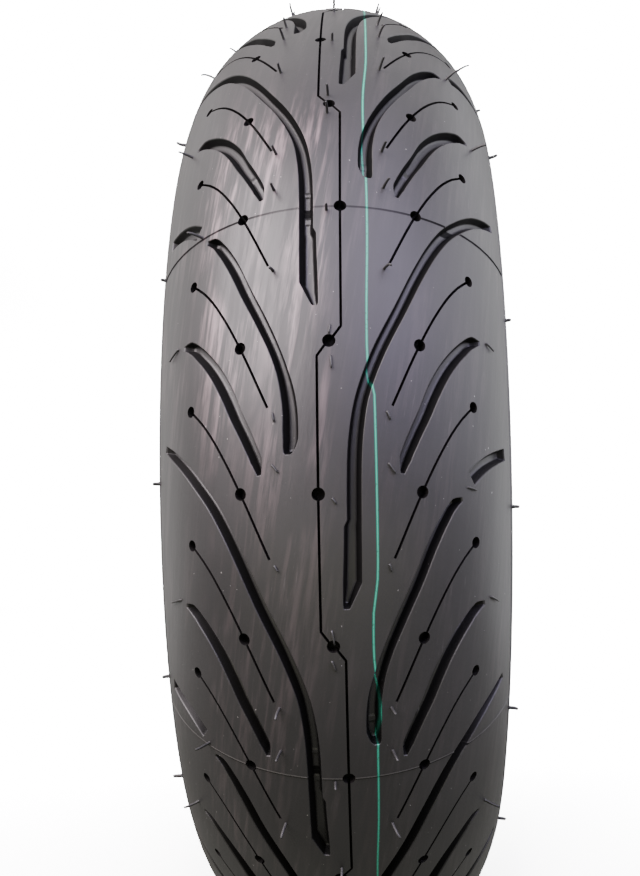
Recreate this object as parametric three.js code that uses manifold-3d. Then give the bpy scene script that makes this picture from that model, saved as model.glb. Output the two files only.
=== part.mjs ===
// A 180/55 ZR17 radial rear tyre for a motorcycle, laid up in the layers that the real one is built from.
// Millimetres. The origin is the wheel centre, +Y runs along the axle and +Z is up.
import * as THREE from "three";
import { mergeVertices } from "three/addons/utils/BufferGeometryUtils.js";
import Module from "manifold-3d";

const wasm = await Module();
wasm.setup();

// ---------- Driving dimensions ----------

const TREAD_RADIUS = 315; // wheel centre to the crown of the tread
const TREAD_ARC = 93; // radius of the round tread section
const TREAD_EDGE = 71; // degrees round that section from the crown to the tread's edge
const RIM_WIDTH = 139.7; // a 17 x 5.50 rim, between its flanges
const SEAT_RADIUS = 218.3; // where the tyre's heel sits on that rim
const CARCASS_ARC = 84; // radius of the carcass section under the tread
const CARCASS_CROWN = 300.4; // wheel centre to the inside of the carcass at the crown
const PLY = 1.1; // thickness of a rubbered cord ply
const LINER = 1.5;
const BASE_RUBBER = 1.4;
const GAP = 0.3; // between neighbouring layers
const SEAM = 22; // degrees of lean at which the shoulder compound takes over
const OUTER_FACETS = 56;
const INNER_FACETS = 28;

// The tread pattern repeats PERIODS times, and each period is PITCHES sipes long.
const PERIODS = 7;
const PITCHES = 4;
const PATTERN_START = -14.2; // degrees from +X towards +Z to the start of a period

const TREAD_CENTRE = TREAD_RADIUS - TREAD_ARC;
const CARCASS_CENTRE = CARCASS_CROWN - CARCASS_ARC;
const FLANGE = RIM_WIDTH / 2;
const PITCH_ANGLE = 360 / (PERIODS * PITCHES);

// ---------- The section: points are [distance along the axle, radius] ----------

const radians = THREE.MathUtils.degToRad;

function arcPoint(centre, radius, degrees) {
  return [radius * Math.sin(radians(degrees)), centre + radius * Math.cos(radians(degrees))];
}

function arc(centre, radius, from, to, steps) {
  const turns = Array.from({ length: steps + 1 }, (_, i) => from + ((to - from) * i) / steps);
  return turns.map((degrees) => arcPoint(centre, radius, degrees));
}

const mirrored = (points) => points.map(([y, r]) => [-y, r]).reverse();

// A path moved sideways by distance, to the left of its direction, with mitred corners.
function offset(path, distance) {
  return path.map(([y, r], i) => {
    const [before, after] = [path[Math.max(i - 1, 0)], path[Math.min(i + 1, path.length - 1)]];
    const into = new THREE.Vector2(y - before[0], r - before[1]).normalize();
    const out = new THREE.Vector2(after[0] - y, after[1] - r).normalize();
    const along = into.clone().add(out).normalize();
    const mitre = distance / Math.max(along.dot(into.lengthSq() ? into : out), 0.5);
    return [y - along.y * mitre, r + along.x * mitre];
  });
}

// The closed outline between two offsets of one path.
const layer = (path, inside, outside) => [...offset(path, outside), ...offset(path, inside).reverse()];

// The inside of the carcass ply: over the crown, down the sidewall, under the bead core and up outside it.
const STEP = 22; // degrees between the section's corners under the tread
const crown = (from, to) => arc(CARCASS_CENTRE, CARCASS_ARC, from, to, Math.round((to - from) / STEP));
const CROWN_END = 3 * STEP;
const sidewallRun = [[81.4, 242.6], [77.5, 238.6], [61.2, 233.4], [55.4, 228.2]];
const beadRun = [[54.9, 222.6], [57, 219.8], [64.8, 219.8], [66.8, 222.6]];
const turnUp = [[67, 227.4], [70.6, 232.1], [76, 235]];
const plyTail = [...sidewallRun, ...beadRun, ...turnUp];
const carcassPath = [...mirrored(plyTail), ...crown(-CROWN_END, CROWN_END), ...plyTail];
const linerTail = [...sidewallRun, beadRun[0]];
const linerPath = [...mirrored(linerTail), ...crown(-CROWN_END, CROWN_END), ...linerTail];

// Distances of the layers from that line.
const OVER_PLY = PLY + GAP;
const BREAKER = OVER_PLY;
const WOUND_BELT = BREAKER + PLY + GAP;
const BASE = WOUND_BELT + PLY + GAP;
const CAP = BASE + BASE_RUBBER + GAP;
const capInside = (degrees) => arcPoint(CARCASS_CENTRE, CARCASS_ARC + CAP, degrees);
const seamY = capInside(SEAM)[0];
const seamLean = THREE.MathUtils.radToDeg(Math.asin(seamY / TREAD_ARC));

const centreCap = [
  ...arc(TREAD_CENTRE, TREAD_ARC, -seamLean, seamLean, 4),
  ...[SEAM, 0, -SEAM].map(capInside),
];
const shoulderCap = [
  ...arc(TREAD_CENTRE, TREAD_ARC, seamLean, TREAD_EDGE, 4),
  ...[CROWN_END, CROWN_END - STEP, SEAM].map(capInside),
].map(([y, r], i) => [y + (i === 0 || i === 7 ? GAP : 0), r]);

// The sidewall runs from under the tread's edge to the top of the rim flange.
const plyOutside = offset(carcassPath, OVER_PLY).slice(-plyTail.length);
const turnUpOutside = offset(carcassPath, -GAP).slice(-turnUp.length);
const sidewallFace = [[88.2, 251.8], [89.8, 246.8], [88, 241], [82.5, 236.2], [73.2, 231.2]];
const sidewall = [
  ...sidewallFace,
  [turnUpOutside[1][0] + GAP, turnUpOutside[1][1] + 0.1],
  turnUpOutside[2],
  ...plyOutside.slice(0, 2).reverse(),
  [79.3, 249.8],
  arcPoint(CARCASS_CENTRE, CARCASS_ARC + CAP - GAP, CROWN_END + 1.2),
];

// The chafer wraps the bead where the rim rubs it. Its flat face is the one that the rim flange holds.
const HEEL_TOP = 222.6;
const FLANGE_TOP = 229;
const TOE = 53.1;
const TOE_TOP = 222.1;
const beadOutside = offset(carcassPath, -GAP).slice(-turnUp.length - beadRun.length);
const chafer = [
  [72.8, 230.8],
  [FLANGE, FLANGE_TOP],
  [FLANGE, HEEL_TOP],
  [FLANGE - 2.4, SEAT_RADIUS],
  [TOE + 1, SEAT_RADIUS - 1.2],
  [TOE, TOE_TOP],
  [TOE + 1.7, TOE_TOP],
  ...beadOutside.slice(1, 6),
];

// The steel bead core, the flipper strip folded round it and the filler that tapers up from it.
const CORE = { y: 60.9, r: 224.3, radius: 2.3 };
const beadCore = arc(0, CORE.radius, 0, 300, 5).map(([y, r]) => [CORE.y + y, CORE.r + r]);
const flipperPath = [[58, 227.6], [57.6, 223], [58.8, 221.6], [63, 221.6], [64.2, 223], [64.6, 228.2]];
const flipper = layer(flipperPath, -0.2, 0.2);
const filler = [[73, 235.3], [69.4, 233.2], [64.8, 229], [58.8, 229], [62.4, 231.9]];

// ---------- Solids ----------

function ring(outline, facets) {
  const points = [...outline, outline[0]].map(([y, r]) => new THREE.Vector2(r, y));
  return new THREE.LatheGeometry(points, facets);
}

function toSolid(geometry) {
  const bare = geometry.clone();
  bare.deleteAttribute("normal");
  bare.deleteAttribute("uv");
  const { index, attributes } = mergeVertices(bare, 1e-3);
  const vertProperties = attributes.position.array;
  const triVerts = new Uint32Array(index.array);
  return new wasm.Manifold(new wasm.Mesh({ numProp: 3, vertProperties, triVerts }));
}

function toGeometry(solid) {
  const { vertProperties, triVerts } = solid.getMesh();
  const geometry = new THREE.BufferGeometry();
  geometry.setAttribute("position", new THREE.BufferAttribute(new Float32Array(vertProperties), 3));
  geometry.setIndex(new THREE.BufferAttribute(new Uint32Array(triVerts), 1));
  geometry.computeVertexNormals();
  return geometry;
}

// ---------- Tread grooves ----------
// A station is [distance from the crown along the tread's arc, pitches round the tyre, groove width].
// Each groove is on the right of the tread. Its twin on the left is mirrored, half a period further round.

const GROOVE_DEPTH = 6;
const grooves = {
  sweeping: [
    [101, 3.345, 3.5], [86, 3.235, 6], [66, 3.0, 6.4], [47.8, 2.63, 6.3], [22, 1.9, 6],
    [10.9, 1.3, 6.6], [9.2, 0.36, 8.6],
  ],
  hooked: [[64, 0.92, 4], [39.3, 0.36, 5.8], [22.6, -0.15, 5.8], [18.4, -0.68, 7.4]],
  slanted: [[80, 2.12, 4], [57, 1.84, 7.4], [34.5, 1.17, 4.5]],
  edge: [[75, 1.11, 5.6], [104, 1.275, 5.4]],
};
const placings = [
  ["sweeping", 0],
  ["hooked", 0],
  ["slanted", 0],
  ["slanted", 2],
  ["edge", 0],
];

// A point at a depth below the tread, at an arc length across it and an angle round it.
function treadPoint(across, degreesRound, depth) {
  const [y, r] = arcPoint(TREAD_CENTRE, TREAD_ARC - depth, THREE.MathUtils.radToDeg(across / TREAD_ARC));
  const round = radians(degreesRound);
  return new THREE.Vector3(r * Math.cos(round), y, r * Math.sin(round));
}

// The closed cutter that sweeps a groove's rectangular section through its stations.
function grooveCutter(stations, side, shift) {
  const centres = stations.map(([across, pitch]) => {
    const round = PATTERN_START + (pitch + shift) * PITCH_ANGLE;
    const r = TREAD_CENTRE + TREAD_ARC * Math.cos(across / TREAD_ARC);
    return { across: side * across, round, r };
  });
  const rows = centres.map((c, i) => {
    const [a, b] = [centres[Math.max(i - 1, 0)], centres[Math.min(i + 1, centres.length - 1)]];
    const along = new THREE.Vector2(b.across - a.across, radians(b.round - a.round) * c.r).normalize();
    const half = stations[i][2] / 2;
    const shoulderLoss = 1.5 * Math.min(1, Math.abs(c.across) / TREAD_ARC);
    return [[1, -3], [-1, -3], [-1, GROOVE_DEPTH - shoulderLoss], [1, GROOVE_DEPTH - shoulderLoss]].map(
      ([hand, depth]) => {
        const across = c.across + hand * half * along.y;
        const round = c.round - THREE.MathUtils.radToDeg((hand * half * along.x) / c.r);
        return treadPoint(across, round, depth);
      },
    );
  });
  const triangles = [];
  const last = (rows.length - 1) * 4;
  for (let row = 0; row < last; row += 4)
    for (let k = 0; k < 4; k += 1) {
      const [p, q] = [row + k, row + ((k + 1) % 4)];
      triangles.push(p, q, q + 4, p, q + 4, p + 4);
    }
  triangles.push(0, 2, 1, 0, 3, 2, last, last + 1, last + 2, last, last + 2, last + 3);
  const geometry = new THREE.BufferGeometry().setFromPoints(rows.flat());
  geometry.setIndex(triangles);
  const cutter = toSolid(geometry);
  if (cutter.volume() > 0) return cutter;
  // Mirroring turned this one inside out, so its triangles are wound the other way.
  geometry.setIndex(triangles.reverse());
  return toSolid(geometry);
}

function allCutters() {
  const cutters = [];
  for (let period = 0; period < PERIODS; period += 1)
    for (const [name, shift] of placings)
      for (const side of [1, -1]) {
        const twin = side < 0 ? PITCHES / 2 : 0;
        cutters.push(grooveCutter(grooves[name], side, period * PITCHES + shift + twin));
      }
  return cutters;
}

const grooved = (outline) => {
  let solid = toSolid(ring(outline, OUTER_FACETS));
  for (const cutter of cutters) solid = solid.subtract(cutter);
  return toGeometry(solid);
};
const cutters = allCutters();

// ---------- Materials ----------

const rubber = (color, roughness) => new THREE.MeshStandardMaterial({ color, roughness, metalness: 0 });
const materials = {
  tread: rubber(0x2b2a2c, 0.55),
  sidewall: rubber(0x232325, 0.6),
  chafer: rubber(0x1c1c1e, 0.7),
  liner: rubber(0x18181a, 0.45),
  gum: rubber(0x303032, 0.8),
  cord: new THREE.MeshStandardMaterial({ color: 0x8a7a55, roughness: 0.9, metalness: 0 }),
  aramid: new THREE.MeshStandardMaterial({ color: 0xb59a45, roughness: 0.85, metalness: 0 }),
  steel: new THREE.MeshStandardMaterial({ color: 0xb08d57, roughness: 0.35, metalness: 1 }),
};

// ---------- Assembly ----------

const tyre = new THREE.Group();

function add(name, geometry, material) {
  const mesh = new THREE.Mesh(geometry, material);
  mesh.name = name;
  tyre.add(mesh);
}

// A layer that runs on without a break from one side of the tyre to the other.
const band = (path, from, thickness) => ring(layer(path, from, from + thickness), INNER_FACETS);

// The same outline on both sides of the tyre.
function addPair(name, outline, material, make = (shape) => ring(shape, INNER_FACETS)) {
  add(`${name}_right`, make(outline), material);
  add(`${name}_left`, make(mirrored(outline)), material);
}

const underTread = crown(-CROWN_END, CROWN_END);

add("tread_centre", grooved(centreCap), materials.tread);
addPair("tread_shoulder", shoulderCap, materials.tread, grooved);
add("tread_base", band(underTread, BASE, BASE_RUBBER), materials.gum);
add("wound_belt", band(crown(-2 * STEP, 2 * STEP), WOUND_BELT, PLY), materials.aramid);
addPair("belt_edge_strip", layer(crown(2 * STEP, CROWN_END), WOUND_BELT, WOUND_BELT + PLY), materials.gum);
add("breaker_ply", band(underTread, BREAKER, PLY), materials.aramid);
add("carcass_ply", band(carcassPath, 0, PLY), materials.cord);
add("inner_liner", band(linerPath, -GAP - LINER, LINER), materials.liner);
addPair("sidewall", sidewall, materials.sidewall);
addPair("chafer", chafer, materials.chafer);
addPair("bead_filler", filler, materials.gum);
addPair("flipper", flipper, materials.cord);
addPair("bead_core", beadCore, materials.steel);

export default tyre;
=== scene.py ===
"""A radial rear tyre for a motorcycle, standing on its tread and seen towards the tread."""

import math

import bpy
import numpy as np
from mathutils import Matrix, Vector
from mathutils.geometry import delaunay_2d_cdt


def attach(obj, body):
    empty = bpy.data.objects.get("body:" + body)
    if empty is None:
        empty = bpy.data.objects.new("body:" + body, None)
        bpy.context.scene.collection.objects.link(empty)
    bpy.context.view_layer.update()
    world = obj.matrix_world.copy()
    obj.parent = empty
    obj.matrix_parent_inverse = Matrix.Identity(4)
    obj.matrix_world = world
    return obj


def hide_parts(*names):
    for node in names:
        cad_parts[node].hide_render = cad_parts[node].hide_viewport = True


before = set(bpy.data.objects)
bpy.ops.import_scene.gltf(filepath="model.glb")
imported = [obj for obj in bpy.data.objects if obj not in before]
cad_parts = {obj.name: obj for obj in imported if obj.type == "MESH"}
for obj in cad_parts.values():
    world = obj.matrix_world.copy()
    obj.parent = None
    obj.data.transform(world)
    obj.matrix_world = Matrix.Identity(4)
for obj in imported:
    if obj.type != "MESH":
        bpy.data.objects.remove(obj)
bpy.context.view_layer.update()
MM = 0.001

# ---------- Driving dimensions, in millimetres ----------

OUTER = 315.0  # wheel centre to the crown of the tread
ARC = 93.0  # radius of the round tread section
CENTRE = OUTER - ARC
EDGE = 115.2  # from the crown to the tread's edge, along the section
SEAM = 34.4  # from the crown to the shoulder compound
PERIODS = 7  # repeats of the tread pattern
PITCHES = 4  # side sipes in one repeat
START = math.radians(-14.2)  # where a repeat starts, from +X towards +Z
PITCH = 2 * math.pi / (PERIODS * PITCHES)
TWIN = PITCHES / 2  # the left half is the right half's mirror, this much further round
HALF_TURN = PERIODS * TWIN  # pitches in half a turn of the wheel
GROOVE_DEPTH = 6.2  # at the crown
SHALLOWER = 2.0  # how much less that is at one section radius from the crown
SIPE_DEPTH = 5.0
HAIR = 0.6  # radius of a vent hair

# ---------- The tread's surface ----------
# A place on the tread is (v, t, depth): v in millimetres from the crown along the section, positive to
# the right, t in pitches round the tyre, and depth in millimetres below the moulded surface.


def on_tread(v, t, depth=0.0):
    """Where that place is, in millimetres from the wheel's centre."""
    lean = np.asarray(v) / ARC
    round_ = START + np.asarray(t) * PITCH
    radius = CENTRE + (ARC - depth) * np.cos(lean)
    across = (ARC - depth) * np.sin(lean)
    return np.stack(np.broadcast_arrays(radius * np.cos(round_), across, radius * np.sin(round_)), -1)


def tread_normal(v, t):
    """The direction straight out of the tread at v, t."""
    lean = np.asarray(v) / ARC
    round_ = START + np.asarray(t) * PITCH
    return np.stack([np.cos(lean) * np.cos(round_), np.sin(lean), np.cos(lean) * np.sin(round_)], -1)


def pitch_length(v):
    """Millimetres round the tyre in one pitch, at v."""
    return PITCH * (CENTRE + ARC * np.cos(np.asarray(v) / ARC))


# ---------- Grooves ----------
# Each is a list of stations (v, t, near, far) on the right of the tread. A smooth line joins the stations.
# near and far are the distances from it to the groove's edges: near the one on the left going up.

GROOVES = {
    "sweeping": {
        "path": [
            (103, 3.36, 1.8, 1.8), (94, 3.30, 2.5, 2.5), (82, 3.20, 3, 3), (71, 3.07, 3.2, 3.2),
            (60.7, 2.92, 3.3, 3.3), (52.7, 2.755, 3.3, 3.3), (46, 2.585, 3.2, 3.2), (34.2, 2.245, 3.1, 3.1),
            (22.7, 1.92, 3.1, 3.1), (18.1, 1.76, 3.1, 3.1), (14.6, 1.605, 3.1, 3.1), (12.4, 1.43, 3.3, 3.3),
            (11.1, 1.22, 3.4, 3.4), (10.95, 1.16, 3.4, 3.4), (10.67, 0.93, 3.4, 3.4),
            (10.65, 0.83, 3.4, 3.35), (10.65, 0.79, 4.8, 3.3), (10.65, 0.61, 5.15, 3.25),
            (10.65, 0.42, 5.7, 3.1), (10.65, 0.275, 5.8, -1.9), (10.65, 0.255, 5.6, -2.6),
            (10.65, 0.245, 4.9, -3.6),
        ],
        "bars": [(10.95, 1.16), (10.67, 0.93)],
        "ramps": (5.0, 1.6),
    },
    "hooked": {
        "path": [
            (66.8, 0.937, 0.9, 0.9), (62, 0.91, 2.5, 2.5), (56, 0.81, 2.9, 2.9), (49.9, 0.67, 3.1, 3.1),
            (40.7, 0.40, 3, 3), (31.5, 0.14, 2.9, 2.9), (25.8, -0.04, 2.7, 2.7), (21.8, -0.2, 2.8, 2.8),
            (19.4, -0.34, 3.3, 3.3), (18.3, -0.46, 3.5, 3.5), (18.1, -0.58, 3.7, 3.7),
            (18.1, -0.645, 3.6, 3.6), (18.1, -0.70, 2.2, 3.6), (18.1, -0.73, 0.9, 3.3),
            (18.1, -0.747, -0.6, 2.4),
        ],
        "bars": [(18.1, -0.58)],
        "ramps": (3.0, 1.6),
    },
    "slanted": {
        "path": [
            (82.8, 2.128, 0.9, 0.9), (77, 2.113, 2.8, 2.8), (69.2, 2.03, 3.4, 3.4), (59.1, 1.875, 3.8, 3.8),
            (51.3, 1.70, 4, 4), (45.3, 1.52, 3.6, 3.6), (41.2, 1.41, 3.4, 3.4), (38.8, 1.34, 3.3, 3.3),
            (35.1, 1.22, 3, 3), (33.5, 1.12, 0.9, 0.9),
        ],
        "bars": [(41.2, 1.41)],
        "ramps": (3.5, 1.6),
    },
    "edge": {
        "path": [
            (72.8, 1.085, 4.2, 3.4), (79, 1.15, 4.3, 3.4), (86, 1.203, 4.1, 3.2), (94.2, 1.243, 3.8, 3),
            (105.5, 1.28, 3.3, 2.8),
        ],
        "bars": [],
        "ramps": (1.8, 1.8),
    },
}
GROOVE_PLACES = [("sweeping", 0), ("hooked", 0), ("slanted", 0), ("slanted", 2), ("edge", 0)]
ROW = 2.0  # length of the groove's cells
LIP = 0.3  # how far the rounded mouth reaches outside the groove's width
BAR = 1.5  # half the length of a tie bar
BAR_TOP = 0.94  # its depth, as a share of the groove's
STEEP_BELOW = 2.9  # half width: the walls of a narrower groove are steeper
SHALLOW_BELOW = 1.8  # and a groove narrower than this is shallower too
LEAST_HALF = 0.6  # no groove has less than this for half its width
BARS_AT = 3.3  # pitches: the bars are only in the grooves that pass here, once in each repeat

# The wall from the tread down to the floor: (distance in from the mouth, share of the depth).
WALL = [
    (-LIP, 0), (-0.12, 0.01), (0, 0.04), (0.15, 0.13), (0.6, 0.42), (1.1, 0.73), (1.55, 0.93), (1.9, 0.985),
    (2.3, 1),
]


def smooth_line(points, at, knots):
    """The Catmull-Rom curve through the points, at distances along it."""
    slopes = np.gradient(points, knots, axis=0)
    k = np.clip(np.searchsorted(knots, at, side="right") - 1, 0, len(knots) - 2)
    h = (knots[k + 1] - knots[k])[:, None]
    s = (at - knots[k])[:, None] / h
    curve = (2 * s**3 - 3 * s**2 + 1) * points[k] + (s**3 - 2 * s**2 + s) * h * slopes[k]
    return curve + (3 * s**2 - 2 * s**3) * points[k + 1] + (s**3 - s**2) * h * slopes[k + 1]


def lengths_along(v, t):
    """Millimetres from the first place to each place of a line on the tread."""
    steps = np.hypot(np.diff(v), np.diff(t) * pitch_length((v[1:] + v[:-1]) / 2))
    return np.concatenate([[0], np.cumsum(steps)])


def wall_share(distance):
    """Share of the full depth at a distance in from a groove's mouth."""
    reach, share = zip(*WALL)
    return np.interp(distance, reach, share)


def groove_rows(knots, bars):
    """Distances along a groove at which its cells begin: closer at its ends, bars and corners."""
    ends = np.array([0, 0.16, 0.3, 0.42, 0.75, 1.1, 1.5, 2.2, 3.4])
    rows = [ends, knots[-1] - ends, knots[1:-1], np.linspace(5, knots[-1] - 5, round(knots[-1] / ROW))]
    for bar in bars:
        rows.append(bar + np.array([-BAR - 0.25, -BAR, BAR, BAR + 0.25]))
    rows = np.unique(np.concatenate(rows))
    return rows[np.concatenate([[True], np.diff(rows) > 0.08])]


def bar_places(groove, stations, knots, turned):
    """Distances along a groove to its tie bars, when it passes the part of the repeat that has them."""
    near = [bar for bar in groove["bars"] if abs((bar[1] + turned - BARS_AT + TWIN) % PITCHES - TWIN) < 0.5]
    return [knots[np.argmin(np.hypot(*(stations[:, :2] - bar).T))] for bar in near]


def spread_across(v, t, at, half, middle):
    """Carries a groove's line out to its edges: v and t with a column for each place on its walls."""
    dv, du = np.gradient(v, at), np.gradient(t, at) * pitch_length(v)
    size = np.hypot(dv, du)
    dv, du = dv / size, du / size
    inward = np.array([w[0] for w in WALL])
    squeeze = np.minimum(1.35, half / STEEP_BELOW)[:, None]
    to_edge = half[:, None] - inward * np.where(inward > 0, squeeze, 1)
    offsets = np.concatenate([-to_edge, np.zeros((len(at), 1)), to_edge[:, ::-1]], axis=1) + middle[:, None]
    return v[:, None] - offsets * du[:, None], t[:, None] + offsets * dv[:, None] / pitch_length(v)[:, None]


def share_along(groove, at, length, bars):
    """Share of the full depth along a groove: it slopes at both ends, and is raised at the bars.

    The slope has a wall's shape, stretched to the length of its ramp.
    """
    share = 1.0
    for distance, ramp in zip((at - LIP, length - at - LIP), groove["ramps"]):
        share = np.minimum(share, wall_share(np.where(distance > 0, distance * 1.7 / ramp, distance)))
    for bar in bars:
        share = np.where(np.abs(at - bar) < BAR + 0.01, np.minimum(share, BAR_TOP), share)
    return share


def groove_grid(groove, side, shift):
    """Arrays v, t, depth of a groove's cells, with its length along rows and its width along columns."""
    stations = np.array(groove["path"], float)
    knots = lengths_along(stations[:, 0], stations[:, 1])
    bars = bar_places(groove, stations, knots, shift + (TWIN if side < 0 else 0))
    at = groove_rows(knots, bars)
    near, far = (np.interp(at, knots, stations[:, i]) for i in (2, 3))
    half = np.maximum((near + far) / 2, LEAST_HALF)
    v, t = smooth_line(stations[:, :2], at, knots).T
    grid_v, grid_t = spread_across(v, t, at, half, (far - near) / 2)
    wall = np.array([w[1] for w in WALL])
    across = np.concatenate([wall, [1], wall[::-1]])
    along = share_along(groove, at, knots[-1], bars)
    full = GROOVE_DEPTH - SHALLOWER * (np.abs(grid_v) / ARC) ** 1.5
    full = full * np.minimum(1, half / SHALLOW_BELOW)[:, None]
    depth = np.minimum(across[None, :], along[:, None]) * full
    if side < 0:
        grid_v, grid_t = -grid_v, grid_t + TWIN
    return grid_v, grid_t + shift, depth


# ---------- Sipes and their round ends ----------

SLIT = 1.25  # width of a sipe
SIDE_SIPE = [
    (75.5, 0.61), (67.4, 0.511), (60.9, 0.406), (55.7, 0.301), (50.4, 0.18), (43.5, 0), (29.1, -0.43),
]
SIDE_HOLES = [(75.6, 0.61, 2.75), (43.5, 0, 3.0)]
CENTRE_SHIFT = 5.6  # the centre sipe runs this far to one side of the crown, and then to the other
CENTRE_SIPE = [(0, 0), (-2, 0.03), (-CENTRE_SHIFT, 0.1), (-CENTRE_SHIFT, 1.9), (-2, 1.97), (0, 2)]
CENTRE_HOLES = [(0, 0, 3.1), (-CENTRE_SHIFT, 1, 3.1)]


def disc(v, t, radius, corners=18):
    """The outline of a round hole."""
    turn = np.arange(corners) * 2 * math.pi / corners
    return np.stack([v + radius * np.cos(turn), t + radius * np.sin(turn) / pitch_length(v)], -1)


def slit(points, bent, width=SLIT):
    """The outline of a narrow cut along a bent line."""
    points = np.array(points, float)
    knots = lengths_along(*points.T)
    at = np.unique(np.concatenate([knots, np.linspace(0, knots[-1], round(knots[-1] / 5) + 1)]))
    if bent:
        v, t = smooth_line(points, at, knots).T
    else:
        v, t = (np.interp(at, knots, c) for c in points.T)
    dv, du = np.gradient(v), np.gradient(t) * pitch_length(v)
    size = np.hypot(dv, du)
    v_off, t_off = width / 2 * du / size, -width / 2 * dv / size / pitch_length(v)
    return np.concatenate([np.stack([v + v_off, t + t_off], -1), np.stack([v - v_off, t - t_off], -1)[::-1]])


def mirrored(outline, shift):
    """The outline's mirror on the other half of the tread, shift pitches further round."""
    return np.stack([-outline[:, 0], outline[:, 1] + shift], -1)


def sipe_outlines():
    """The outlines of all the sipes and holes that reach into one repeat."""
    outlines = []
    side = [slit(SIDE_SIPE, True), *(disc(*hole) for hole in SIDE_HOLES)]
    for n in range(-1, PITCHES + 2):
        for outline in side:
            outlines += [outline + [0, n], mirrored(outline, n)]
    centre = [slit(CENTRE_SIPE, False), *(disc(*hole) for hole in CENTRE_HOLES)]
    for n in range(-PITCHES, PITCHES + 1, PITCHES):
        for outline in centre:
            outlines += [outline + [0, n], mirrored(outline, n + TWIN)]
    return [o for o in outlines if o[:, 1].max() > -0.1 and o[:, 1].min() < PITCHES + 0.1]


# ---------- One repeat of the pattern ----------

FLASH_AT = 3  # pitches: where two parts of the mould meet and leave a ridge across the tread
FLASH_WIDTH = 0.6
FLASH = 0.45  # height of that ridge
FLAT = 62.0  # millimetres that stand for one pitch while triangulating
SPACING = 7.0  # between the points added to the open tread
CLEAR = 2.6  # how far those keep from any line


class Sheet:
    """Vertices (v, t, depth, moulded) and faces of one repeat. moulded marks the smooth outer surface.

    cut tells, for each face, whether it is inside a sipe.
    """

    def __init__(self):
        self.rows = []
        self.faces = []
        self.cut = []

    def add(self, rows, faces, cut=False):
        base = len(self.rows)
        self.rows += [tuple(r) for r in rows]
        self.faces += [tuple(base + i for i in f) for f in faces]
        self.cut += [cut] * len(faces)


def groove_cells(sheet, grid, side):
    """Adds a groove's grid to the sheet, with only its rim marked as moulded."""
    v, t, depth = grid
    n, m = v.shape
    rim = np.zeros((n, m), bool)
    rim[[0, -1]] = True
    rim[:, [0, -1]] = True
    corner = np.arange(n * m).reshape(n, m)
    quads = np.stack([corner[:-1, :-1], corner[1:, :-1], corner[1:, 1:], corner[:-1, 1:]], -1).reshape(-1, 4)
    if side < 0:
        quads = quads[:, ::-1]
    sheet.add(np.stack([v.ravel(), t.ravel(), depth.ravel(), rim.ravel()], -1), quads)


def grid_boundary(grid):
    """The places (v, t) once round a groove's rim."""
    v, t, _ = grid
    p = np.stack([v, t], -1)
    return np.concatenate([p[0, :-1], p[:-1, -1], p[-1, :0:-1], p[:0:-1, 0]])


class Plan:
    """What a flat triangulation has to follow: points, lines and closed outlines."""

    def __init__(self):
        self.points = []
        self.lines = []
        self.outlines = []

    def line(self, places):
        base = len(self.points)
        self.points.extend(Vector((v, t * FLAT)) for v, t in places)
        self.lines += [(base + i, base + i + 1) for i in range(len(places) - 1)]

    def outline(self, polygon):
        v, t = np.array(polygon).T
        if (v * np.roll(t, -1) - np.roll(v, -1) * t).sum() < 0:
            v, t = v[::-1], t[::-1]
        base = len(self.points)
        self.points.extend(Vector(p) for p in zip(v, t * FLAT))
        self.outlines.append(list(range(base, base + len(polygon))))

    def fill(self, places):
        """Adds the places that aren't too near the points that are there already."""
        taken = np.array(self.points)
        for v, t in places:
            if np.hypot(*(taken - [v, t * FLAT]).T).min() > CLEAR:
                self.points.append(Vector((v, t * FLAT)))


def plan_repeat(grooves, sipes):
    """The plan of one repeat. Its first outline is the repeat's own, and its sipes come last."""
    plan = Plan()
    tile_t = np.linspace(0, PITCHES, PITCHES * 7 + 1)
    across = np.linspace(-EDGE, EDGE, 34)
    right, left = [(EDGE, t) for t in tile_t], [(-EDGE, t) for t in tile_t[::-1]]
    plan.outline(right + [(v, PITCHES) for v in across[-2:0:-1]] + left + [(v, 0.0) for v in across[1:-1]])
    for grid in grooves:
        plan.outline(grid_boundary(grid))
    for polygon in sipes:
        plan.outline(polygon)
    for v in (-SEAM, SEAM):
        plan.line([(v, t) for t in tile_t])
    for offset in (-FLASH_WIDTH / 2, 0, FLASH_WIDTH / 2):
        plan.line([(v, FLASH_AT + offset / FLAT) for v in across])
    columns = np.arange(-16, 17)
    plan.fill([(n * SPACING, t - (0.07 if n % 2 else 0)) for n in columns for t in tile_t[1:-1]])
    return plan


def kind_of(inside, first_sipe):
    """What a triangle is part of, from the outlines that it is inside."""
    if 0 not in inside:
        return "outside"
    if any(0 < i < first_sipe for i in inside):
        return "groove"
    return "sipe" if len(inside) > 1 else "land"


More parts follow.
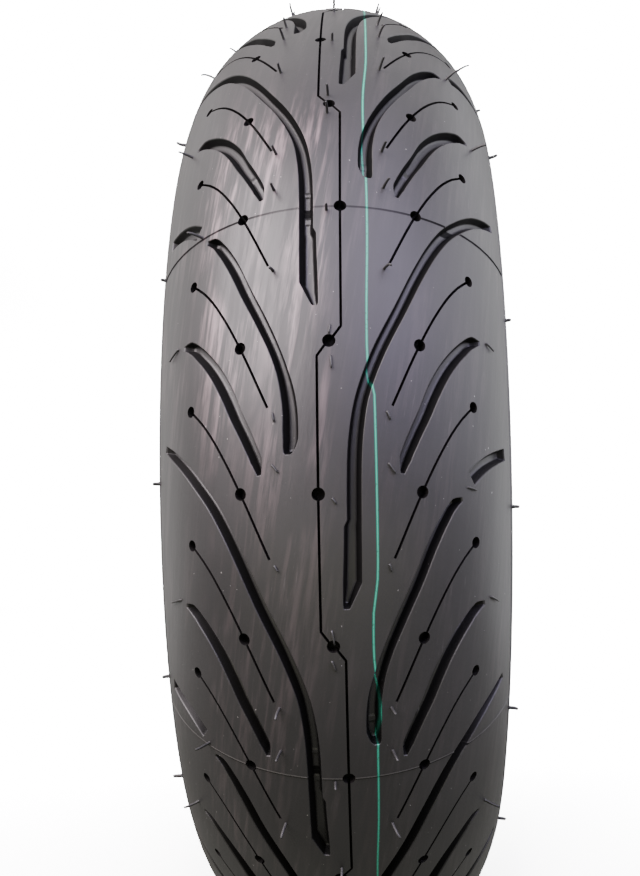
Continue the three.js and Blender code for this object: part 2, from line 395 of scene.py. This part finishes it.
def moulded_surface(sheet, grooves, sipes):
    """Triangulates the tread between the grooves, and sinks the sipes."""
    plan = plan_repeat(grooves, sipes)
    made, _, triangles, _, _, origin = delaunay_2d_cdt(plan.points, plan.lines, plan.outlines, 0, 1e-5)
    kinds = [kind_of(set(ids), 1 + len(grooves)) for ids in origin]
    place = [(p.x, p.y / FLAT) for p in made]
    on_flash = [abs(t - FLASH_AT) < 1e-4 for _, t in place]
    land = [tri for tri, kind in zip(triangles, kinds) if kind == "land"]
    sunk = [tri for tri, kind in zip(triangles, kinds) if kind == "sipe"]
    sheet.add([(v, t, -FLASH * high, 1 - high) for (v, t), high in zip(place, on_flash)], land)
    sheet.add([(v, t, SIPE_DEPTH, 0) for v, t in place], sunk, cut=True)
    beside = {}
    for tri, kind in zip(triangles, kinds):
        for a, b in zip(tri, tri[1:] + tri[:1]):
            beside[(a, b)] = kind
    for tri in sunk:
        for a, b in zip(tri, tri[1:] + tri[:1]):
            if beside.get((b, a)) in ("land", "groove"):
                wall = [(*place[a], 0, 0), (*place[b], 0, 0)]
                wall += [(*place[b], SIPE_DEPTH, 0), (*place[a], SIPE_DEPTH, 0)]
                sheet.add(wall, [(0, 1, 2, 3)], cut=True)


def one_repeat():
    """The vertices, faces and cut marks of the tread's repeating stretch, from edge to edge."""
    sheet = Sheet()
    grids = []
    for name, shift in GROOVE_PLACES:
        for side in (1, -1):
            grid = groove_grid(GROOVES[name], side, shift)
            groove_cells(sheet, grid, side)
            grids += [(grid[0], grid[1] + n, grid[2]) for n in (-PITCHES, 0, PITCHES)]
    near = [g for g in grids if g[1].max() > -0.1 and g[1].min() < PITCHES + 0.1]
    moulded_surface(sheet, near, sipe_outlines())
    return np.array(sheet.rows), sheet.faces, sheet.cut


# ---------- Pieces ----------


def new_piece(name, positions, faces, material, node=None, slot=None):
    """A mesh object in the row frame, from millimetres."""
    mesh = bpy.data.meshes.new(name)
    mesh.from_pydata((np.asarray(positions) * MM).tolist(), [], [tuple(map(int, f)) for f in faces])
    mesh.materials.append(material)
    piece = bpy.data.objects.new(name, mesh)
    bpy.context.scene.collection.objects.link(piece)
    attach(piece, "root")
    if node:
        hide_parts(node)
    return piece


def tread_pieces(land, sipe_shade_rubber):
    """The tread's three compounds, each with all its repeats."""
    rows, faces, cut = one_repeat()
    v, t, depth, moulded = rows.T
    middle = [sum(v[i] for i in f) / len(f) for f in faces]
    parts = [
        ("tread_centre", "tread_rubber", [n for n, m in enumerate(middle) if abs(m) <= SEAM]),
        ("tread_shoulder_right", "shoulder_rubber", [n for n, m in enumerate(middle) if m > SEAM]),
        ("tread_shoulder_left", "shoulder_rubber", [n for n, m in enumerate(middle) if m < -SEAM]),
    ]
    for node, slot, own in parts:
        used = sorted({i for n in own for i in faces[n]})
        index = {old: new for new, old in enumerate(used)}
        place, normals, all_faces = [], [], []
        for repeat in range(PERIODS):
            turn = t[used] + repeat * PITCHES
            base = repeat * len(used)
            place.append(on_tread(v[used], turn, depth[used]))
            normals.append(tread_normal(v[used], turn) * moulded[used][:, None])
            all_faces += [[base + index[i] for i in faces[n]] for n in own]
        piece = new_piece(f"{node}_rubber", np.concatenate(place), all_faces, land, node, slot)
        # The faces in the sipes take the painted shade material.
        piece.data.materials.append(sipe_shade_rubber)
        piece.data.polygons.foreach_set("material_index", [int(cut[n]) for n in own] * PERIODS)
        piece.data.polygons.foreach_set("use_smooth", [True] * len(all_faces))
        piece.data.normals_split_custom_set_from_vertices(np.concatenate(normals).tolist())


# ---------- Vent hairs ----------
# Thin ends of rubber that flowed into the mould's air vents: (v, t, one every so many pitches, length, way,
# mirrored). way is where they lean, in radians from straight down towards the right, and mirrored tells
# whether those on the left half of the tread lean the other way.

HAIRS = [
    (-0.6, 0.105, 4, 6.0, 0.1, False), (0.8, 1.895, 4, 6.0, 0.05, False), (0.9, 0.97, 4, 3.0, 0.3, False),
    (26.6, 0.53, 1, 4.0, 0.45, False), (27.0, 1.19, 2, 4.8, 0.4, False), (88, 2.15, 2, 8.5, 1.15, True),
    (70.5, 1.02, 4, 5, 1.3, True),
]
HANDLED = [(-8, -4.6), (-0.3, 2.4)]  # pitches: where the hairs are pressed flat, by the floor and by hands
PRESSED = (0.04, 0.14)  # how steeply those rise from the rubber, in radians
STANDING = (1.15, 1.5)  # and all the others
WHOLE = 1.9  # those are longer too, this many times
STOUT = 1.3  # and this many times as thick
LONGEST = 8.0
SIDE_HAIR = (87.5, 249)  # distance along the axle and radius of those on the sidewalls
SIDE_LENGTH = (3.0, 6.6)
SIDE_THICK = 1.9  # how much thicker they are
HAIR_ROOT = 0.4  # how far a hair starts below the surface
HAIR_SIDES = 7


def hair(foot, outward, lean, length, steep, thick=1.0):
    """A thin tapered stalk that leaves the rubber upright and bends over towards lean."""
    side = np.cross(outward, lean)
    reach, rise = length * math.cos(steep), length * math.sin(steep)
    steps = np.array([0.2, 0.5, 0.8, 1.0])
    along = np.concatenate([[0, 0, 0], reach * steps**1.5])
    up = np.concatenate([[-HAIR_ROOT, 0, 0.2], 0.2 + rise * np.sin(steps * math.pi / 2)])
    radius = HAIR * np.concatenate([[1.2, 1.1, 1.0], 1 - 0.3 * steps])
    places = []
    for a, u, r, da, du in zip(along, up, radius, np.gradient(along), np.gradient(up)):
        across = (outward * da - lean * du) / math.hypot(da, du)
        for k in range(HAIR_SIDES):
            turn = 2 * math.pi * k / HAIR_SIDES
            ring = across * math.cos(turn) + side * math.sin(turn)
            places.append(foot + lean * a + outward * u + ring * r * thick)
    faces = []
    for base in range(0, len(places) - HAIR_SIDES, HAIR_SIDES):
        for k in range(HAIR_SIDES):
            a, b = base + k, base + (k + 1) % HAIR_SIDES
            faces.append((a, b, b + HAIR_SIDES, a + HAIR_SIDES))
    faces.append(tuple(range(len(places) - HAIR_SIDES, len(places))))
    return places, faces


def tread_hairs(chance):
    """What hair needs to make each hair on the tread."""
    for v, t, every, length, way, mirror in HAIRS:
        for side in (1, -1):
            for n in range(0, PERIODS * PITCHES, every):
                at_t = t + n + (0 if side > 0 else TWIN)
                foot, outward = on_tread(v * side, at_t), tread_normal(v * side, at_t)
                down = on_tread(v * side, at_t - 0.01) - foot
                down /= np.linalg.norm(down)
                turn = (way + chance.uniform(-0.35, 0.35)) * (side if mirror else 1)
                lean = down * math.cos(turn) + np.cross(outward, down) * math.sin(turn)
                from_front = (at_t + HALF_TURN) % (2 * HALF_TURN) - HALF_TURN
                flat = any(low < from_front < high for low, high in HANDLED)
                steep = chance.uniform(*(PRESSED if flat else STANDING))
                size = length * chance.uniform(0.7, 1.15)
                if flat:
                    yield foot, outward, lean, size, steep
                else:
                    yield foot, outward, lean, min(size * WHOLE, LONGEST), steep, STOUT


def side_hairs(chance):
    """What hair needs to make each hair on the sidewalls."""
    along, radius = SIDE_HAIR
    for side in (1, -1):
        axle = np.array([0.0, side, 0.0])
        for n in range(0, PERIODS * PITCHES, 2):
            turn = START + (n + 0.5 * side + chance.uniform(-0.6, 0.6)) * PITCH
            spoke = np.array([math.cos(turn), 0, math.sin(turn)])
            length = chance.uniform(*SIDE_LENGTH)
            yield spoke * radius + axle * along, axle, spoke, length, chance.uniform(1.2, 1.5), SIDE_THICK


def vent_hairs(material):
    chance = np.random.default_rng(7)
    places, faces = [], []
    for shape in [*tread_hairs(chance), *side_hairs(chance)]:
        own_places, own_faces = hair(*shape)
        faces.extend(tuple(i + len(places) for i in face) for face in own_faces)
        places.extend(own_places)
    piece = new_piece("vent_hairs", places, faces, material, slot="tread_rubber")
    piece.data.polygons.foreach_set("use_smooth", [True] * len(faces))


# ---------- Rings ----------


def cad_section(node):
    """The outline (distance along the axle, radius) of a ring, in millimetres, walked round its edge."""
    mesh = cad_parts[node].data
    on_plane = {
        v.index: (v.co.y / MM, v.co.z / MM) for v in mesh.vertices if abs(v.co.x) < 1e-5 and v.co.z > 0
    }
    places = {i: (round(y, 2), round(r, 2)) for i, (y, r) in on_plane.items()}
    beside = {}
    for edge in mesh.edges:
        a, b = edge.vertices
        if a in places and b in places and places[a] != places[b]:
            beside.setdefault(places[a], set()).add(places[b])
            beside.setdefault(places[b], set()).add(places[a])
    walk = [min(beside)]
    while True:
        onward = [p for p in sorted(beside[walk[-1]]) if p not in walk]
        if not onward:
            return walk
        walk.append(onward[0])


def signed_area(outline):
    """Twice the area inside the outline, positive when it runs anticlockwise."""
    return sum(a[0] * b[1] - b[0] * a[1] for a, b in zip(outline, [*outline[1:], outline[0]]))


def rounded(outline, reach, steps=3):
    """The closed outline with each corner rounded, starting at most reach from it."""
    made = []
    count = len(outline)
    for i, corner in enumerate(outline):
        corner = Vector(corner)
        before, after = Vector(outline[i - 1]), Vector(outline[(i + 1) % count])
        near = corner + (before - corner).normalized() * min(reach, (before - corner).length * 0.45)
        far = corner + (after - corner).normalized() * min(reach, (after - corner).length * 0.45)
        for k in range(steps + 1):
            s = k / steps
            made.append(tuple(near * (1 - s) ** 2 + corner * 2 * s * (1 - s) + far * s**2))
    return made


# Low round ribs on the sidewalls: (radius, height).
RIBS = [(233.4, 0.5), (238.8, 0.4), (244.0, 0.5)]
RIB = 0.9  # half a rib's width


def with_ribs(outline):
    """The sidewall's outline, with the ribs on its outer face."""
    if signed_area(outline) < 0:
        outline = outline[::-1]
    made = []
    for start, end in zip(outline, outline[1:] + outline[:1]):
        made.append(start)
        a, b = Vector(start), Vector(end)
        along = (b - a).normalized()
        out = Vector((along.y, -along.x))
        if out.x * a.x < 0:
            continue
        low, high = min(a.y, b.y) + RIB, max(a.y, b.y) - RIB
        crossed = sorted((rib for rib in RIBS if low < rib[0] < high), reverse=a.y > b.y)
        for radius, height in crossed:
            middle = a + (b - a) * (radius - a.y) / (b.y - a.y)
            for shift, up in ((-RIB, 0), (-RIB / 2, height), (RIB / 2, height), (RIB, 0)):
                made.append(tuple(middle + along * shift + out * up))
    return made


def ring_piece(name, outline, material, node, slot, segments=224):
    """Turns an outline round the axle."""
    outline = np.array(outline)
    if signed_area(outline) > 0:
        outline = outline[::-1]
    turn = START + np.arange(segments) * 2 * math.pi / segments
    y = np.tile(outline[:, 0], segments)
    r = np.tile(outline[:, 1], segments)
    angle = np.repeat(turn, len(outline))
    places = np.stack([r * np.cos(angle), y, r * np.sin(angle)], -1)
    count = len(outline)
    faces = []
    for s in range(segments):
        here, there = s * count, ((s + 1) % segments) * count
        for i in range(count):
            j = (i + 1) % count
            faces.append((here + i, here + j, there + j, there + i))
    piece = new_piece(name, places, faces, material, node, slot)
    piece.data.polygons.foreach_set("use_smooth", [True] * len(faces))
    piece.data.set_sharp_from_angle(angle=math.radians(40))
    return piece


# ---------- Materials ----------


class Shader:
    """A material's node tree, with short names for the nodes that are used here."""

    def __init__(self, name):
        self.material = bpy.data.materials.new(name)
        self.material.use_nodes = True
        self.tree = self.material.node_tree
        self.surface = self.tree.nodes["Principled BSDF"]
        self.place = self.node("ShaderNodeTexCoord").outputs["Object"]

    def node(self, kind, **settings):
        node = self.tree.nodes.new(kind)
        for key, value in settings.items():
            setattr(node, key, value)
        return node

    def link(self, value, socket):
        if isinstance(value, bpy.types.NodeSocket):
            self.tree.links.new(value, socket)
        else:
            socket.default_value = value

    def math(self, operation, *values):
        node = self.node("ShaderNodeMath", operation=operation)
        for value, socket in zip(values, node.inputs):
            self.link(value, socket)
        return node.outputs[0]

    def noise(self, scale, detail=3.0, roughness=0.5, distortion=0.0, stretch=(1, 1, 1), place=None):
        mapping = self.node("ShaderNodeMapping")
        self.link(place or self.place, mapping.inputs["Vector"])
        mapping.inputs["Scale"].default_value = stretch
        noise = self.node("ShaderNodeTexNoise")
        self.link(mapping.outputs[0], noise.inputs["Vector"])
        noise.inputs["Scale"].default_value = scale
        noise.inputs["Detail"].default_value = detail
        noise.inputs["Roughness"].default_value = roughness
        noise.inputs["Distortion"].default_value = distortion
        return noise.outputs["Fac"]

    def ramp(self, value, low, high, to_low=0.0, to_high=1.0):
        node = self.node("ShaderNodeMapRange", interpolation_type="SMOOTHSTEP")
        for socket, given in zip(node.inputs, (value, low, high, to_low, to_high)):
            self.link(given, socket)
        return node.outputs[0]

    def mix(self, share, a, b):
        node = self.node("ShaderNodeMix", data_type="RGBA")
        self.link(share, node.inputs["Factor"])
        self.link(a, node.inputs["A"])
        self.link(b, node.inputs["B"])
        return node.outputs["Result"]

    def bump(self, height, distance, strength=1.0, normal=None):
        node = self.node("ShaderNodeBump")
        self.link(height, node.inputs["Height"])
        node.inputs["Distance"].default_value = distance
        node.inputs["Strength"].default_value = strength
        if normal:
            self.link(normal, node.inputs["Normal"])
        return node.outputs[0]

    def finish(self, colour, roughness, normal=None, **values):
        self.link(colour, self.surface.inputs["Base Color"])
        self.link(roughness, self.surface.inputs["Roughness"])
        if normal:
            self.link(normal, self.surface.inputs["Normal"])
        for key, value in values.items():
            self.surface.inputs[key.replace("_", " ")].default_value = value
        return self.material


def rgb(r, g, b):
    return (r, g, b, 1.0)


def unrolled(s):
    """The shader's v, t and depth on the tread, and a place round the tread for stretched noise."""
    split = s.node("ShaderNodeSeparateXYZ")
    s.link(s.place, split.inputs[0])
    x, y, z = split.outputs
    radius = s.math("SQRT", s.math("ADD", s.math("MULTIPLY", x, x), s.math("MULTIPLY", z, z)))
    lean = s.math("ARCTAN2", y, s.math("SUBTRACT", radius, CENTRE * MM))
    turn = s.math("DIVIDE", s.math("SUBTRACT", s.math("ARCTAN2", z, x), START), PITCH)
    round_ = s.node("ShaderNodeCombineXYZ")
    s.link(s.math("DIVIDE", x, radius), round_.inputs[0])
    s.link(s.math("DIVIDE", z, radius), round_.inputs[1])
    slant = s.math("MULTIPLY", s.math("DIVIDE", z, radius), -0.16)
    s.link(s.math("ADD", s.math("MULTIPLY", lean, ARC / OUTER), slant), round_.inputs[2])
    out = s.math("SUBTRACT", radius, CENTRE * MM)
    reach = s.math("SQRT", s.math("ADD", s.math("MULTIPLY", out, out), s.math("MULTIPLY", y, y)))
    depth = s.math("SUBTRACT", ARC, s.math("DIVIDE", reach, MM))
    return s.math("MULTIPLY", lean, ARC), turn, depth, round_.outputs[0]


# Where the painted line runs, over one turn: (t, v).
PAINT_PATH = [
    (-HALF_TURN, 19), (-2.1, 18.6), (-1.2, 19.8), (-0.75, 19.8), (-0.5, 21.4), (-0.3, 21.1), (0, 18.5),
    (0.3, 19.3), (0.6, 21.1), (1.65, 20.7), (1.95, 17.5), (3.0, 18.5), (3.9, 17.2), (4.8, 19.4), (8, 18),
    (HALF_TURN, 19),
]
PAINT_LOW, PAINT_HIGH = 15, 24  # v stays between these


def paint_line(s, across, turn):
    """1 on the painted line that wanders round the tread, and 1 towards that line's edges."""
    curve = s.node("ShaderNodeFloatCurve")
    points = curve.mapping.curves[0].points
    for _ in PAINT_PATH[2:]:
        points.new(0.5, 0.5)
    for point, (t, v) in zip(points, PAINT_PATH):
        point.location = ((t / HALF_TURN + 1) / 2, (v - PAINT_LOW) / (PAINT_HIGH - PAINT_LOW))
    curve.mapping.update()
    s.link(s.math("DIVIDE", s.math("ADD", turn, HALF_TURN), 2 * HALF_TURN), curve.inputs["Value"])
    path = s.math("ADD", s.math("MULTIPLY", curve.outputs[0], PAINT_HIGH - PAINT_LOW), PAINT_LOW)
    gap = s.math("ABSOLUTE", s.math("SUBTRACT", across, path))
    worn = s.ramp(s.noise(900, 2), 0.3, 0.42, 0.5, 1.0)
    return s.math("MULTIPLY", s.ramp(gap, 0.48, 0.85, 1.0, 0.0), worn), s.ramp(gap, 0.12, 0.55)


def full_depth(s, across):
    """How deep the grooves are at v, in millimetres, as in groove_grid."""
    share = s.math("POWER", s.math("DIVIDE", s.math("ABSOLUTE", across), ARC), 1.5)
    return s.math("SUBTRACT", GROOVE_DEPTH, s.math("MULTIPLY", share, SHALLOWER))


def film_and_highlight_left(s, across, turn):
    """1 on the upper left stretch that keeps its film, and less where it has been wiped off. That stretch is
    also where the film's pale colour stands in for a highlight.
    """
    along = s.math("MULTIPLY", s.ramp(turn, 0.6, 2.4, 0.17, 1.0), s.ramp(turn, 3.3, 4.6, 1.0, 0.0))
    left = s.math("MULTIPLY", along, s.ramp(across, -6.0, 4.0, 1.0, 0.08))
    return s.math("MULTIPLY", left, s.ramp(across, -78.0, -56.0, 0.25, 1.0))


def with_film_and_highlight(s, colour, left, depth, brushed, broad):
    """A pale film in brushed streaks, on the moulded surface only. Its pale pink colour is partly a painted
    highlight.
    """
    film = s.math("MULTIPLY", s.ramp(brushed, 0.42, 0.7), s.ramp(broad, 0.38, 0.62))
    film = s.math("MULTIPLY", film, s.ramp(left, 0.0, 1.0, 0.04, 0.85))
    film = s.math("MULTIPLY", film, s.ramp(depth, 0.05, 0.4, 1.0, 0.0))
    # Pale film colour, bright enough to also paint the highlight on the upper left.
    return s.mix(film, colour, rgb(0.225, 0.168, 0.174))


def with_wear(s, colour, round_, broad):
    """Thin scratches in patches, and specks of dust."""
    scratch = s.noise(260, 4, 0.7, 0.2, stretch=(0.06, 0.06, 1), place=round_)
    scuff = s.math("MULTIPLY", s.ramp(scratch, 0.6, 0.72), s.ramp(broad, 0.5, 0.6))
    colour = s.mix(s.math("MULTIPLY", scuff, 0.2), colour, rgb(0.12, 0.105, 0.11))
    speck = s.ramp(s.noise(620, 1, 0.4), 0.8, 0.82)
    return s.mix(s.math("MULTIPLY", speck, 0.6), colour, rgb(0.3, 0.29, 0.28))


def ridge_shade_and_highlight(s, across, above):
    """Painted light at the ridge left by the mould's parting line: 1 on the painted shade along its lower
    flank, and 1 on the painted highlight along its upper one.
    """
    lower = s.math("MULTIPLY", s.ramp(above, -0.016, -0.011), s.ramp(above, -0.001, 0.001, 1.0, 0.0))
    lower = s.math("MULTIPLY", lower, s.ramp(s.math("ABSOLUTE", across), 20.0, 60.0, 0.5, 1.0))
    upper = s.math("MULTIPLY", s.ramp(above, -0.001, 0.001), s.ramp(above, 0.003, 0.006, 1.0, 0.0))
    return lower, upper


def painted_groove_shade(s, across, depth, above):
    """Painted shade: 1 on the grooves' walls, and in the gaps where the mould's parting line crosses their
    floors, which are dark by colour only.
    """
    sunk = s.math("DIVIDE", depth, full_depth(s, across))
    wall = s.math("MULTIPLY", s.ramp(depth, 0.2, 0.9), s.ramp(sunk, 0.85, 0.935, 1.0, 0.0))
    wall = s.math("MULTIPLY", wall, s.ramp(s.math("ABSOLUTE", across), 62.0, 84.0, 1.0, 0.75))
    notch_shade = s.ramp(s.math("ABSOLUTE", above), 0.028, 0.043, 1.0, 0.0)
    return s.math("MAXIMUM", wall, s.math("MULTIPLY", notch_shade, s.ramp(depth, 1.5, 2.5)))


def tread_rubber():
    s = Shader("tread_rubber")
    across, turn, depth, round_ = unrolled(s)
    above = s.math("WRAP", s.math("SUBTRACT", turn, FLASH_AT), PITCHES / 2, -PITCHES / 2)
    brushed = s.noise(95, 4, 0.6, 0.2, stretch=(0.07, 0.07, 1), place=round_)
    broad = s.noise(14, 3, 0.5, 0.4, stretch=(0.3, 0.3, 1), place=round_)
    left = film_and_highlight_left(s, across, turn)
    lower, upper = ridge_shade_and_highlight(s, across, above)
    # dark is painted shade: along the ridge's lower flank, on the grooves' walls and in their notches.
    dark = s.math("MAXIMUM", lower, painted_groove_shade(s, across, depth, above))
    painted, thin = paint_line(s, across, turn)

    cloud = s.ramp(s.noise(9, 4, 0.55), 0.35, 0.7)
    colour = s.mix(cloud, rgb(0.0152, 0.0146, 0.0148), rgb(0.0226, 0.0216, 0.022))
    colour = with_film_and_highlight(s, colour, left, depth, brushed, broad)
    colour = with_wear(s, colour, round_, broad)
    # Painted highlight along the ridge's upper flank.
    colour = s.mix(s.math("MULTIPLY", upper, 0.5), colour, rgb(0.12, 0.115, 0.11))
    colour = s.mix(painted, colour, s.mix(thin, rgb(0.022, 0.3, 0.19), rgb(0.003, 0.08, 0.055)))
    # Painted shade: near black wherever dark is.
    colour = s.mix(s.math("MULTIPLY", dark, 0.85), colour, rgb(0.003, 0.003, 0.003))

    streaks = s.math("MULTIPLY", s.ramp(brushed, 0.3, 0.7), s.ramp(left, 0.0, 1.0, 0.3, 1.0))
    smooth = s.ramp(streaks, 0.0, 1.0, 0.48, 0.37)
    # Where the shade is painted, the rubber is also rougher and shines less.
    roughness = s.math("MAXIMUM", smooth, s.math("MULTIPLY", dark, 0.62))
    s.link(s.ramp(dark, 0, 1, 0.5, 0.06), s.surface.inputs["Specular IOR Level"])
    normal = s.bump(s.noise(420, 3, 0.6), 0.00006, 0.6)
    normal = s.bump(streaks, 0.0002, 0.25, normal)
    return s.finish(colour, roughness, normal)


def plain_rubber(name, dark, light, roughness, grain, shine=0.5):
    s = Shader(name)
    cloud = s.noise(14, 4, 0.6)
    colour = s.mix(s.ramp(cloud, 0.3, 0.7), rgb(*dark), rgb(*light))
    normal = s.bump(s.noise(grain, 3, 0.6), 0.00008, 0.6)
    rough = s.ramp(s.noise(40, 3), 0.3, 0.7, roughness - 0.06, roughness + 0.06)
    return s.finish(colour, rough, normal, Specular_IOR_Level=shine)


def corded(name, dark, light, angle, roughness=0.75, metal=0.0):
    """Parallel cords under a thin skin of rubber, at an angle across the layer."""
    s = Shader(name)
    mapping = s.node("ShaderNodeMapping")
    s.link(s.place, mapping.inputs["Vector"])
    mapping.inputs["Rotation"].default_value = (angle, 0, 0)
    wave = s.node("ShaderNodeTexWave", wave_type="BANDS", bands_direction="Y")
    s.link(mapping.outputs[0], wave.inputs["Vector"])
    wave.inputs["Scale"].default_value = 260
    wave.inputs["Distortion"].default_value = 0.6
    colour = s.mix(wave.outputs["Fac"], rgb(*dark), rgb(*light))
    normal = s.bump(wave.outputs["Fac"], 0.0002, 0.8)
    rough = s.ramp(s.noise(60), 0.3, 0.7, roughness - 0.05, roughness + 0.05)
    return s.finish(colour, rough, normal, Metallic=metal)


def stage_paint():
    s = Shader("pale_floor")
    colour = s.mix(s.noise(3, 2), rgb(0.88, 0.88, 0.88), rgb(0.9, 0.9, 0.9))
    return s.finish(colour, 0.8)


# ---------- The tyre ----------

TREAD = tread_rubber()
# Painted shade: the sipes' walls and floors are near black and nearly without shine, as deep slits lie in
# shade.
SIPE_SHADE = plain_rubber("sipe_shade_rubber", (0.003, 0.003, 0.003), (0.007, 0.006, 0.006), 0.75, 600, 0.1)
HAIR_RUBBER = plain_rubber("hair_rubber", (0.008, 0.008, 0.008), (0.02, 0.019, 0.019), 0.5, 900, 0.5)
SIDEWALL = plain_rubber("sidewall_rubber", (0.02, 0.02, 0.021), (0.034, 0.033, 0.034), 0.52, 500)
CHAFER = plain_rubber("chafer_rubber", (0.016, 0.016, 0.017), (0.026, 0.026, 0.027), 0.65, 900)
LINER = plain_rubber("liner_rubber", (0.014, 0.014, 0.015), (0.022, 0.022, 0.023), 0.4, 300)
BASE = plain_rubber("base_rubber", (0.02, 0.02, 0.02), (0.03, 0.03, 0.03), 0.7, 700)
CARCASS = corded("carcass_cord", (0.07, 0.055, 0.035), (0.2, 0.16, 0.1), 0.0)
BELT = corded("belt_cord", (0.12, 0.09, 0.02), (0.4, 0.31, 0.08), 0.35)
WIRE = corded("bead_wire", (0.2, 0.13, 0.06), (0.55, 0.38, 0.2), 0.0, 0.35, 1.0)

tread_pieces(TREAD, SIPE_SHADE)
vent_hairs(HAIR_RUBBER)

# (node, material, slot, how far from a corner its rounding starts).
RINGS = [
    ("tread_base", BASE, "base_rubber", 0.5),
    ("wound_belt", BELT, "belt_cord", 0.3),
    ("belt_edge_strip_right", BASE, "base_rubber", 0.3),
    ("belt_edge_strip_left", BASE, "base_rubber", 0.3),
    ("breaker_ply", BELT, "belt_cord", 0.3),
    ("carcass_ply", CARCASS, "carcass_cord", 0.5),
    ("inner_liner", LINER, "liner_rubber", 14.0),
    ("sidewall_right", SIDEWALL, "sidewall_rubber", 2.0),
    ("sidewall_left", SIDEWALL, "sidewall_rubber", 2.0),
    ("chafer_right", CHAFER, "chafer_rubber", 0.8),
    ("chafer_left", CHAFER, "chafer_rubber", 0.8),
    ("bead_filler_right", BASE, "base_rubber", 0.5),
    ("bead_filler_left", BASE, "base_rubber", 0.5),
    ("flipper_right", CARCASS, "carcass_cord", 0.1),
    ("flipper_left", CARCASS, "carcass_cord", 0.1),
    ("bead_core_right", WIRE, "bead_wire", 0.6),
    ("bead_core_left", WIRE, "bead_wire", 0.6),
]
for node, material, slot_name, corner in RINGS:
    section = cad_section(node)
    if node.startswith("sidewall"):
        section = with_ribs(section)
    ring_piece(f"{node}_ring", rounded(section, corner), material, node, slot_name)

for cad_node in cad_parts.values():
    cad_node.data.materials.clear()
    cad_node.data.materials.append(BASE)

# ---------- Floor, light and camera ----------


def add_sweep():
    """A round floor that curves up into a wall all round. It doesn't brighten the tyre."""
    level, radius, bend, top = -OUTER * MM - 0.0005, 3.2, 0.9, 4.5
    profile = [(0.0, level), (0.6, level), (radius - bend, level)]
    for step in range(1, 13):
        turn = step / 12 * math.pi / 2
        profile.append((radius - bend + bend * math.sin(turn), level + bend - bend * math.cos(turn)))
    profile.append((radius, top))
    around = 72
    points = [
        (r * math.cos(2 * math.pi * k / around), r * math.sin(2 * math.pi * k / around), z)
        for r, z in profile
        for k in range(around)
    ]
    faces = []
    for row in range(len(profile) - 1):
        for k in range(around):
            a, b = row * around + k, row * around + (k + 1) % around
            faces.append((a, a + around, b + around, b))
    mesh = bpy.data.meshes.new("sweep")
    mesh.from_pydata(points, [], faces)
    mesh.polygons.foreach_set("use_smooth", [True] * len(faces))
    mesh.materials.append(stage_paint())
    sweep = bpy.data.objects.new("sweep", mesh)
    bpy.context.scene.collection.objects.link(sweep)
    sweep.visible_diffuse = False
    sweep.visible_glossy = False
    return sweep


def add_light(name, location, target, size, power, colour=(1, 1, 1), spread=180, only=None):
    """A soft box. spread is its beam in degrees, and only limits its light to one object."""
    data = bpy.data.lights.new(name, "AREA")
    data.shape = "RECTANGLE"
    data.size, data.size_y = size
    data.energy = power
    data.color = colour
    data.spread = math.radians(spread)
    light = bpy.data.objects.new(name, data)
    light.location = location
    light.rotation_mode = "QUATERNION"
    light.rotation_quaternion = (Vector(target) - Vector(location)).to_track_quat("-Z", "Y")
    light.visible_camera = False
    bpy.context.scene.collection.objects.link(light)
    if only:
        lit = bpy.data.collections.new(f"lit_by_{name}")
        lit.objects.link(only)
        light.light_linking.receiver_collection = lit


def add_world(strength, colour):
    world = bpy.data.worlds.new("studio")
    world.use_nodes = True
    world.node_tree.nodes["Background"].inputs["Color"].default_value = rgb(*colour)
    world.node_tree.nodes["Background"].inputs["Strength"].default_value = strength
    bpy.context.scene.world = world


def add_camera():
    """A level view along -X at the middle of the tread, from arm's length."""
    distance, swing = 0.86, 0.021
    aim_left, aim_up, roll = 0.0202, 0.033, -0.0146
    turn = Matrix.Rotation(swing + aim_left, 3, "Z") @ Matrix.Rotation(aim_up, 3, "Y")
    turn = turn @ Matrix.Rotation(roll, 3, "X")
    data = bpy.data.cameras.new("camera")
    data.lens = 49.62
    data.clip_start, data.clip_end = 0.05, 50
    camera = bpy.data.objects.new("camera", data)
    back, right, up = turn.col
    frame_axes = Matrix((right, up, back)).transposed()
    place = Vector((math.cos(swing), math.sin(swing), 0)) * distance
    camera.matrix_world = Matrix.Translation(place) @ frame_axes.to_4x4()
    bpy.context.scene.collection.objects.link(camera)
    bpy.context.scene.camera = camera


sweep = add_sweep()
add_world(0.34, (1, 0.985, 0.87))
add_light("overhead_box", (0, 0, 3.2), (0, 0, 0), (6.0, 6.0), 2300, only=sweep)
add_light("wall_box", (-1.0, 0, 2.4), (-3.2, 0, 0.6), (1.0, 4.0), 900, spread=110, only=sweep)
add_light("key", (1.05, -1.1, 1.15), (0, 0, 0.05), (1.9, 1.5), 134, (1, 0.905, 0.94))
add_light("top", (1.1, 0.5, 1.45), (0, 0, 0), (1.6, 1.6), 32, (0.86, 0.8, 1))
add_light("front", (1.7, 1.15, 1.35), (0, 0, 0), (2.2, 1.8), 46, (0.68, 0.61, 1))
add_light("bounce", (0.8, 0, -0.22), (0, 0, -0.1), (1.6, 0.16), 1.1, (0.96, 1, 0.6))
add_light("side_right", (0.35, 1.9, 0.75), (0, 0, 0), (1.6, 1.6), 26, (0.88, 0.86, 1))
add_light("rim_top", (-0.5, 0.1, 1.5), (0, 0, 0), (1.8, 1.0), 6, (1, 1, 0.97))
add_light("rim_left", (-0.9, -1.6, 0.5), (0, 0, 0), (1.5, 2.4), 15)
add_light("rim_right", (-0.9, 1.6, 0.5), (0, 0, 0), (1.5, 2.4), 24, (0.97, 0.98, 1))
add_camera()
